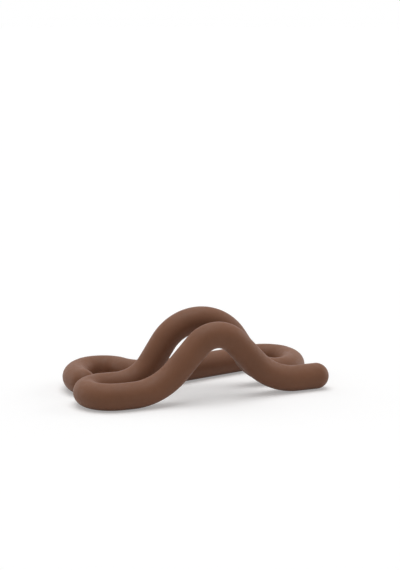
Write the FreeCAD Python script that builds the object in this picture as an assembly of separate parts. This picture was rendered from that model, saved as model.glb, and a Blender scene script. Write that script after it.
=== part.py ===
import FreeCAD, Part
import math
import os

Vector = FreeCAD.Vector

# A desk phone stand bent from one round, soft-skinned bar.
# From its free end at the right front, the bar lies on the desk, arches up in a front hump, turns back
# at the left, arches up again in a taller rear hump and turns back at the right. It then dips in behind
# the rear hump, curls round at the left rear and ends in a domed tail behind the left front turn.
# X runs along the front strand, Y to the back, Z up. The origin is under the middle of the stand.

# The bar, in millimetres
bar_diameter = 16.0

# Front strand, from the domed end at the right (lengths in millimetres, angles in degrees)
front_end_run = 13.5         # flat stretch behind the domed end
front_foot_radius = 39.5     # bend that lifts the bar off the desk
front_flank_angle = 46.0     # slope of the hump's sides
front_flank = 19.5           # straight stretch up each side
front_crest_radius = 17.5    # bend over the top
front_turn_run = 5.0         # flat stretch before the left turn

# Left turn, round the end of the slot
slot_gap = 14.0              # clear width between the two strands at the turn
slot_taper = 3.0             # the rear strand closes in on the front one by this angle
turn_lead_radius = 25.0      # wide bend that eases the front strand into the turn
turn_lead_angle = 12.0

# Rear strand, from the left turn
rear_turn_run = 8.5          # flat stretch after the turn
rear_foot_radius = 26.5
rear_flank_angle = 56.5
rear_flank = 14.0
rear_crest_radius = 28.2

# Loops on the desk behind the humps: right lobe, back strand, left curl and tail
loop_bend_radius = 14.0      # tight bends of both loops
loop_side_radius = 31.0      # wide bends down the outer side of both loops
lobe_near_angle = 45.0       # tight bend out of the rear strand
lobe_side_angle = 54.5       # wide bend up the right side
dip_radius = 20.0            # bend where the back strand dips towards the rear hump
curl_entry = 10.0            # where round the curl the dip runs into it, from +X
curl_side_angle = 61.0       # wide bend down the left side, as far as the tail
tail_tuck = 8.5              # the tail points in to the right by this angle
tail_bearing = 102.0         # where round the left turn the tail stops, from +X
tail_clearance = 0.6         # clear space between the tail and the turn

bar_radius = bar_diameter / 2


def plan_direction(heading):
    """Unit vector in plan, at a heading in degrees from +X towards +Y."""
    return Vector(math.cos(math.radians(heading)), math.sin(math.radians(heading)), 0)


class Route:
    """The bar's centre line, laid as a bending machine works: feed straight, bend, feed again."""

    def __init__(self, point, heading):
        self.point = point
        self.heading = heading
        self.slope = 0.0
        self.edges = []

    def direction(self):
        level = plan_direction(self.heading) * math.cos(math.radians(self.slope))
        return level + Vector(0, 0, math.sin(math.radians(self.slope)))

    def left(self):
        return plan_direction(self.heading + 90)

    def feed(self, length):
        end = self.point + self.direction() * length
        self.edges.append(Part.LineSegment(self.point, end).toShape())
        self.point = end

    def bend(self, centre, axis, angle):
        """Arc round an axis through the centre, by the right-hand rule."""
        spoke = self.point - centre
        middle = centre + FreeCAD.Rotation(axis, angle / 2).multVec(spoke)
        end = centre + FreeCAD.Rotation(axis, angle).multVec(spoke)
        self.edges.append(Part.Arc(self.point, middle, end).toShape())
        self.point = end

    def swing(self, radius, angle):
        """Bend flat on the desk, to the left for a positive angle. Gives the bend's centre."""
        centre = self.point + self.left() * math.copysign(radius, angle)
        self.bend(centre, Vector(0, 0, 1), angle)
        self.heading += angle
        return centre

    def lift(self, radius, angle):
        """Bend in the strand's upright plane, upwards for a positive angle."""
        axis = self.left() * -1
        centre = self.point + axis.cross(self.direction()) * math.copysign(radius, angle)
        self.bend(centre, axis, angle)
        self.slope += angle

    def hump(self, foot_radius, flank_angle, flank, crest_radius):
        """Arch up from the desk, over a crest and down again."""
        self.lift(foot_radius, flank_angle)
        self.feed(flank)
        self.lift(crest_radius, -2 * flank_angle)
        self.feed(flank)
        self.lift(foot_radius, flank_angle)


def across_bar(point, direction):
    """Place across a level stretch of the bar: Z along the bar, X straight up."""
    up = Vector(0, 0, 1)
    return FreeCAD.Placement(point, FreeCAD.Rotation(up, direction.cross(up), direction, "ZXY"))


def dome(point, outward):
    """Half ball that closes an end of the bar."""
    half_ball = Part.makeSphere(bar_radius, Vector(0, 0, 0), Vector(0, 0, 1), 0, 90, 360)
    half_ball.Placement = across_bar(point, outward)
    return half_ball


# Front strand: from its free end at the right to the left turn
front_end = Vector(0, 0, bar_radius)
route = Route(front_end, 180)
route.feed(front_end_run)
route.hump(front_foot_radius, front_flank_angle, front_flank, front_crest_radius)
route.feed(front_turn_run)

# Left turn: its radius follows from the slot that it closes
lead_depth = turn_lead_radius * (1 - math.cos(math.radians(turn_lead_angle)))
turn_depth = slot_gap + bar_diameter - lead_depth
turn_radius = turn_depth / (math.cos(math.radians(turn_lead_angle)) + math.cos(math.radians(slot_taper)))
route.swing(turn_lead_radius, -turn_lead_angle)
turn_centre = route.swing(turn_radius, turn_lead_angle - 180 - slot_taper)

# Rear strand: back to the right over the taller hump
route.feed(rear_turn_run)
route.hump(rear_foot_radius, rear_flank_angle, rear_flank, rear_crest_radius)

# Right lobe: a tight bend, the wide side, and the centre of the tight bend that starts the back strand
route.swing(loop_bend_radius, lobe_near_angle)
route.swing(loop_side_radius, lobe_side_angle)
lobe_centre = route.point + route.left() * loop_bend_radius

# Left curl: set out backwards from the tail, which stops just short of the left turn
tail_heading = 270 + tail_tuck
tail_end = turn_centre + plan_direction(tail_bearing) * (turn_radius + bar_diameter + tail_clearance)
side_centre = tail_end + plan_direction(tail_heading + 90) * loop_side_radius
side_heading = tail_heading - curl_side_angle
curl_centre = side_centre + plan_direction(side_heading - 90) * (loop_side_radius - loop_bend_radius)
dip_centre = curl_centre + plan_direction(curl_entry) * (loop_bend_radius + dip_radius)

# Back strand: the straight line that leaves the lobe on its far side and meets the dip on its near side
across = dip_centre - lobe_centre
bend_radii = loop_bend_radius + dip_radius
back_run = math.sqrt(across.Length**2 - bend_radii**2)
back_heading = math.degrees(math.atan2(across.y, across.x) + math.atan2(bend_radii, back_run)) % 360

# The rest of the lobe, the back strand, the dip, the curl and the tail
route.swing(loop_bend_radius, (back_heading - route.heading) % 360)
route.feed(back_run)
route.swing(dip_radius, curl_entry + 90 - back_heading)
route.swing(loop_bend_radius, side_heading - curl_entry - 90)
route.swing(loop_side_radius, curl_side_angle)

# The bar: one round section carried along the route, closed by a dome at each end
section = Part.Face(Part.Wire(Part.makeCircle(bar_radius)))
section.Placement = across_bar(front_end, plan_direction(180))
bar = Part.Wire(route.edges).makePipe(section)
domes = [dome(front_end, plan_direction(0)), dome(route.point, route.direction())]
stand = bar.fuse(domes).removeSplitter().Solids[0]

# The origin goes under the middle of the stand, on the desk
middle = Part.Compound(route.edges).BoundBox.Center
stand.translate(Vector(-middle.x, -middle.y, 0))

os.makedirs("parts", exist_ok=True)
stand.exportStep("parts/bent_bar.step")
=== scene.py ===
import bmesh
import bpy
import math
from mathutils import Matrix, Vector


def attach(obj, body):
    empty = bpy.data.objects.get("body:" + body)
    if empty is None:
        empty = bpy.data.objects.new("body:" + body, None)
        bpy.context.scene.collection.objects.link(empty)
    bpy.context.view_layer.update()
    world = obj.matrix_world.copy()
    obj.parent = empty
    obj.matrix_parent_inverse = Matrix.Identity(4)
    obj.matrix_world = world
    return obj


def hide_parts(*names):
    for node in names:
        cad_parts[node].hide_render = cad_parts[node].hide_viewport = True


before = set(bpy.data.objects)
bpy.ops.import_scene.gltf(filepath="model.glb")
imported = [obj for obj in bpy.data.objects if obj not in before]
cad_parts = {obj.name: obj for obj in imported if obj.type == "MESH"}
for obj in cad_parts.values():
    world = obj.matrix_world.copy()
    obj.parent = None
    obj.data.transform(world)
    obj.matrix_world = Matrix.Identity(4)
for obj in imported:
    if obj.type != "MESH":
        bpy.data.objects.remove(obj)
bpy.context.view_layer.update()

# Bent bar
# The whole stand is one round bar with a matte, soft-touch silicone skin and a domed end at each tip.
# It is fed and bent in one go: over the front hump, round the left turn, over the rear hump,
# round the right lobe, along the back and into the left curl, and it rests on the desk by itself.

# The bar's sizes, in metres, and its headings and bearings, in degrees in plan from +X towards +Y
bar_radius = 0.008
front_end_run = 0.0135      # flat stretch behind the domed end
front_turn_run = 0.005      # flat stretch before the left turn
slot_gap = 0.014            # clear width between the two strands at the turn
slot_taper_degrees = 3      # the rear strand closes in on the front one by this angle
turn_lead_radius = 0.025    # wide bend that eases the front strand into the turn
turn_lead_degrees = 12
rear_turn_run = 0.0085      # flat stretch after the turn
loop_bend_radius = 0.014    # tight bends of both loops
loop_side_radius = 0.031    # wide bends down the outer side of both loops
lobe_near_degrees = 45      # tight bend out of the rear strand
lobe_side_degrees = 54.5    # wide bend up the right side
dip_radius = 0.020          # bend where the back strand dips towards the rear hump
curl_entry_bearing = 10     # where round the curl the dip runs into it
curl_side_degrees = 61      # wide bend down the left side, as far as the tail
tail_tuck_degrees = 8.5     # the tail points in to the right by this angle
tail_bearing = 102          # where round the left turn the tail stops
tail_clearance = 0.0006     # clear space between the tail and the turn
faces_round_bar = 64
degrees_per_step = 4        # how far a bend turns between two rings of the mesh


def plan_direction(heading):
    """Unit vector in plan, at a heading in degrees from +X towards +Y."""
    return Vector((math.cos(math.radians(heading)), math.sin(math.radians(heading)), 0))


class BarFeed:
    """Draws the leading half of a ball along the bar's route, and leaves the bar's wall behind it."""

    def __init__(self, mesh, leading_half, point, heading):
        self.mesh = mesh
        self.leading_half = leading_half
        self.point = point.copy()
        self.heading = heading
        self.slope = 0.0

    def direction(self):
        level = plan_direction(self.heading) * math.cos(math.radians(self.slope))
        return level + Vector((0, 0, math.sin(math.radians(self.slope))))

    def left(self):
        return plan_direction(self.heading + 90)

    def feed(self, length):
        drawn = bmesh.ops.extrude_face_region(self.mesh, geom=self.leading_half)["geom"]
        moved = [part for part in drawn if isinstance(part, bmesh.types.BMVert)]
        bmesh.ops.translate(self.mesh, verts=moved, vec=self.direction() * length)
        self.leading_half = drawn
        self.point += self.direction() * length

    def bend(self, centre, axis, degrees):
        angle = math.radians(degrees)
        steps = math.ceil(abs(degrees) / degrees_per_step)
        turned = bmesh.ops.spin(self.mesh, geom=self.leading_half, cent=centre, axis=axis, angle=angle,
                                steps=steps, use_merge=False)
        self.leading_half = turned["geom_last"]
        self.point = centre + Matrix.Rotation(angle, 3, axis) @ (self.point - centre)

    def swing(self, radius, degrees):
        """Bend flat on the desk, to the left for a positive angle. Gives the bend's centre."""
        centre = self.point + self.left() * math.copysign(radius, degrees)
        self.bend(centre, Vector((0, 0, 1)), degrees)
        self.heading += degrees
        return centre

    def lift(self, radius, degrees):
        """Bend in the strand's upright plane, upwards for a positive angle."""
        axis = -self.left()
        centre = self.point + axis.cross(self.direction()) * math.copysign(radius, degrees)
        self.bend(centre, axis, degrees)
        self.slope += degrees

    def hump(self, foot_radius, flank_degrees, flank, crest_radius):
        """Arch up from the desk, over a crest and down again."""
        self.lift(foot_radius, flank_degrees)
        self.feed(flank)
        self.lift(crest_radius, -2 * flank_degrees)
        self.feed(flank)
        self.lift(foot_radius, flank_degrees)


# The ball at the front end: its right half stays there as the dome, and its left half leads the bar.
# The leading half's edges go along with its faces, so that no inner wall is left behind in the bar.
front_end = Vector((0, 0, bar_radius))
ball_place = Matrix.Translation(front_end) @ Matrix.Rotation(math.radians(90), 4, "Y")
bar_mesh = bmesh.new()
bmesh.ops.create_uvsphere(bar_mesh, u_segments=faces_round_bar, v_segments=faces_round_bar // 2,
                          radius=bar_radius, matrix=ball_place)
hair = 0.0001               # takes in the ring round the ball's middle
leading_half = [part for part in bar_mesh.faces[:] + bar_mesh.edges[:]
                if all(vert.co.x < front_end.x + hair for vert in part.verts)]

# Front strand: from its free end at the right to the left turn
bar = BarFeed(bar_mesh, leading_half, front_end, heading=180)
bar.feed(front_end_run)
bar.hump(foot_radius=0.0395, flank_degrees=46, flank=0.0195, crest_radius=0.0175)
bar.feed(front_turn_run)

# Left turn: its radius follows from the slot that it closes
lead_cosine = math.cos(math.radians(turn_lead_degrees))
taper_cosine = math.cos(math.radians(slot_taper_degrees))
turn_depth = slot_gap + 2 * bar_radius - turn_lead_radius * (1 - lead_cosine)
turn_radius = turn_depth / (lead_cosine + taper_cosine)
bar.swing(turn_lead_radius, -turn_lead_degrees)
turn_centre = bar.swing(turn_radius, turn_lead_degrees - 180 - slot_taper_degrees)

# Rear strand: back to the right over the taller hump, and into the near side of the right lobe
bar.feed(rear_turn_run)
bar.hump(foot_radius=0.0265, flank_degrees=56.5, flank=0.014, crest_radius=0.0282)
bar.swing(loop_bend_radius, lobe_near_degrees)
bar.swing(loop_side_radius, lobe_side_degrees)
lobe_centre = bar.point + bar.left() * loop_bend_radius

# Left curl: set out backwards from the tail, which stops just short of the left turn
tail_heading = 270 + tail_tuck_degrees
tail_end = turn_centre + plan_direction(tail_bearing) * (turn_radius + 2 * bar_radius + tail_clearance)
side_centre = tail_end + plan_direction(tail_heading + 90) * loop_side_radius
side_heading = tail_heading - curl_side_degrees
curl_centre = side_centre + plan_direction(side_heading - 90) * (loop_side_radius - loop_bend_radius)
bend_radii = loop_bend_radius + dip_radius
dip_centre = curl_centre + plan_direction(curl_entry_bearing) * bend_radii

# Back strand: the straight line that leaves the lobe on its far side and meets the dip on its near side
across = dip_centre - lobe_centre
back_run = math.sqrt(across.length**2 - bend_radii**2)
back_heading = math.degrees(math.atan2(across.y, across.x) + math.atan2(bend_radii, back_run)) % 360

# The rest of the lobe, the back strand, the dip, the curl and the tail
bar.swing(loop_bend_radius, (back_heading - bar.heading) % 360)
bar.feed(back_run)
bar.swing(dip_radius, curl_entry_bearing + 90 - back_heading)
bar.swing(loop_bend_radius, side_heading - curl_entry_bearing - 90)
bar.swing(loop_side_radius, curl_side_degrees)

# The origin goes under the middle of the stand, on the desk
places_x = [vert.co.x for vert in bar_mesh.verts]
places_y = [vert.co.y for vert in bar_mesh.verts]
middle = Vector((min(places_x) + max(places_x), min(places_y) + max(places_y), 0)) / 2
bmesh.ops.translate(bar_mesh, verts=bar_mesh.verts, vec=-middle)

bmesh.ops.recalc_face_normals(bar_mesh, faces=bar_mesh.faces)
for face in bar_mesh.faces:
    face.smooth = True
bent_bar_data = bpy.data.meshes.new("silicone_bar")
bar_mesh.to_mesh(bent_bar_data)
bar_mesh.free()
silicone_bar = bpy.data.objects.new("silicone_bar", bent_bar_data)
bpy.context.scene.collection.objects.link(silicone_bar)

# Silicone skin: warm brown pigment, faintly clouded, with the fine grain of a matte mould
dark_pigment = (0.172, 0.0715, 0.0355, 1)
light_pigment = (0.196, 0.0815, 0.0405, 1)
usual_low = 0.3             # a noise keeps mostly between these two values
usual_high = 0.7
silicone = bpy.data.materials.new("matte_brown_silicone")
silicone.use_nodes = True
nodes = silicone.node_tree.nodes
links = silicone.node_tree.links
skin = nodes["Principled BSDF"]
skin.inputs["Specular IOR Level"].default_value = 0.3
skin.inputs["Sheen Weight"].default_value = 0.03
skin.inputs["Sheen Roughness"].default_value = 0.35
skin.inputs["Sheen Tint"].default_value = (1.0, 0.93, 0.88, 1.0)
place = nodes.new("ShaderNodeTexCoord")


def noise(label, scale, detail):
    texture = nodes.new("ShaderNodeTexNoise")
    texture.label = label
    texture.inputs["Scale"].default_value = scale
    texture.inputs["Detail"].default_value = detail
    links.new(place.outputs["Object"], texture.inputs["Vector"])
    return texture.outputs["Fac"]


def spread(noise_value, low, high):
    """Stretches the usual values of a noise over the range from low to high."""
    stretch = nodes.new("ShaderNodeMapRange")
    stretch.inputs["From Min"].default_value = usual_low
    stretch.inputs["From Max"].default_value = usual_high
    stretch.inputs["To Min"].default_value = low
    stretch.inputs["To Max"].default_value = high
    links.new(noise_value, stretch.inputs["Value"])
    return stretch.outputs["Result"]


pigment_clouds = noise("pigment clouds", scale=60, detail=3)
mould_grain = noise("mould grain", scale=2600, detail=2)
soft_waves = noise("soft waves", scale=420, detail=1)

pigment = nodes.new("ShaderNodeValToRGB")
pigment.color_ramp.elements[0].position = usual_low
pigment.color_ramp.elements[0].color = dark_pigment
pigment.color_ramp.elements[1].position = usual_high
pigment.color_ramp.elements[1].color = light_pigment
links.new(pigment_clouds, pigment.inputs["Fac"])
grained_pigment = nodes.new("ShaderNodeVectorMath")
grained_pigment.operation = "SCALE"
links.new(pigment.outputs["Color"], grained_pigment.inputs[0])
links.new(spread(mould_grain, low=0.95, high=1.05), grained_pigment.inputs["Scale"])
links.new(grained_pigment.outputs["Vector"], skin.inputs["Base Color"])
links.new(spread(soft_waves, low=0.52, high=0.64), skin.inputs["Roughness"])

relief = nodes.new("ShaderNodeMix")
relief.inputs["Factor"].default_value = 0.4
links.new(mould_grain, relief.inputs["A"])
links.new(soft_waves, relief.inputs["B"])
skin_relief = nodes.new("ShaderNodeBump")
skin_relief.inputs["Strength"].default_value = 0.3
skin_relief.inputs["Distance"].default_value = 0.00006
links.new(relief.outputs["Result"], skin_relief.inputs["Height"])
links.new(skin_relief.outputs["Normal"], skin.inputs["Normal"])

bent_bar_data.materials.append(silicone)
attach(silicone_bar, "root")
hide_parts("bent_bar")

# Floor
# A plain white studio table, wide enough to run out of every view. It takes the bar's shadow,
# and what the camera sees of it is lifted a little so that the lit table is white.
table_colour = (0.76, 0.76, 0.76, 1)
table_lift_when_seen = 0.3
floor_mesh = bmesh.new()
bmesh.ops.create_circle(floor_mesh, cap_ends=True, segments=96, radius=12)
floor_data = bpy.data.meshes.new("studio_table")
floor_mesh.to_mesh(floor_data)
floor_mesh.free()
studio_table = bpy.data.objects.new("studio_table", floor_data)
bpy.context.scene.collection.objects.link(studio_table)


def seen_by_camera(tree):
    """1 for what the camera sees, straight, mirrored or through glass, and 0 for soft light."""
    ray = tree.nodes.new("ShaderNodeLightPath")
    seen = ray.outputs["Is Camera Ray"]
    for kind in ("Is Glossy Ray", "Is Transmission Ray"):
        either = tree.nodes.new("ShaderNodeMath")
        either.operation = "MAXIMUM"
        tree.links.new(seen, either.inputs[0])
        tree.links.new(ray.outputs[kind], either.inputs[1])
        seen = either.outputs["Value"]
    return seen


white_table = bpy.data.materials.new("white_table")
white_table.use_nodes = True
table_nodes = white_table.node_tree.nodes
table_links = white_table.node_tree.links
table_nodes.remove(table_nodes["Principled BSDF"])
table_paint = table_nodes.new("ShaderNodeBsdfDiffuse")
table_paint.inputs["Color"].default_value = table_colour
table_lift = table_nodes.new("ShaderNodeEmission")
table_lift.inputs["Color"].default_value = (1, 1, 1, 1)
lift_strength = table_nodes.new("ShaderNodeMath")
lift_strength.operation = "MULTIPLY"
lift_strength.inputs[1].default_value = table_lift_when_seen
table_links.new(seen_by_camera(white_table.node_tree), lift_strength.inputs[0])
table_links.new(lift_strength.outputs["Value"], table_lift.inputs["Strength"])
table_sum = table_nodes.new("ShaderNodeAddShader")
table_links.new(table_paint.outputs["BSDF"], table_sum.inputs[0])
table_links.new(table_lift.outputs["Emission"], table_sum.inputs[1])
table_links.new(table_sum.outputs["Shader"], table_nodes["Material Output"].inputs["Surface"])
floor_data.materials.append(white_table)

# Light
# A white room gives soft light from all round, and a broad overhead panel makes the tops of the bar
# lighter than its sides. Low panels at the right and the left rear light the outer sides of the loops,
# and a weak one behind brings out the crests.
room_soft_light = 0.28
room_when_seen = 1.0
panel_spread = math.radians(50)
room = bpy.data.worlds.new("white_room")
room.use_nodes = True
bpy.context.scene.world = room
room_light = room.node_tree.nodes["Background"]
room_light.inputs["Color"].default_value = (1, 1, 1, 1)
room_strength = room.node_tree.nodes.new("ShaderNodeMapRange")
room_strength.inputs["To Min"].default_value = room_soft_light
room_strength.inputs["To Max"].default_value = room_when_seen
room.node_tree.links.new(seen_by_camera(room.node_tree), room_strength.inputs["Value"])
room.node_tree.links.new(room_strength.outputs["Result"], room_light.inputs["Strength"])


def panel(name, strength, towards):
    light = bpy.data.lights.new(name, "SUN")
    light.energy = strength
    light.angle = panel_spread
    lamp = bpy.data.objects.new(name, light)
    lamp.rotation_euler = Vector(towards).to_track_quat("-Z", "Y").to_euler()
    bpy.context.scene.collection.objects.link(lamp)


panel("overhead_panel", strength=1.6, towards=(0, 0, -1))
panel("right_panel", strength=0.65, towards=(-0.97, 0, -0.26))
panel("left_rear_panel", strength=0.42, towards=(0.68, -0.68, -0.26))
panel("rear_panel", strength=0.2, towards=(0, -0.64, -0.77))

# Camera
# It stands a metre off at the left front, a little above the bar, with a long lens.
camera_data = bpy.data.cameras.new("camera")
camera_data.lens = 107.56
camera_data.sensor_width = 36
camera_data.clip_start = 0.01
camera_data.clip_end = 100
camera = bpy.data.objects.new("camera", camera_data)
camera.location = (-0.4351, -0.9348, 0.2400)
aim = Vector((-0.0056, -0.0299, 0.0688))
camera.rotation_euler = (aim - camera.location).to_track_quat("-Z", "Y").to_euler()
bpy.context.scene.collection.objects.link(camera)
bpy.context.scene.camera = camera
bpy.context.scene.view_settings.view_transform = "Standard"
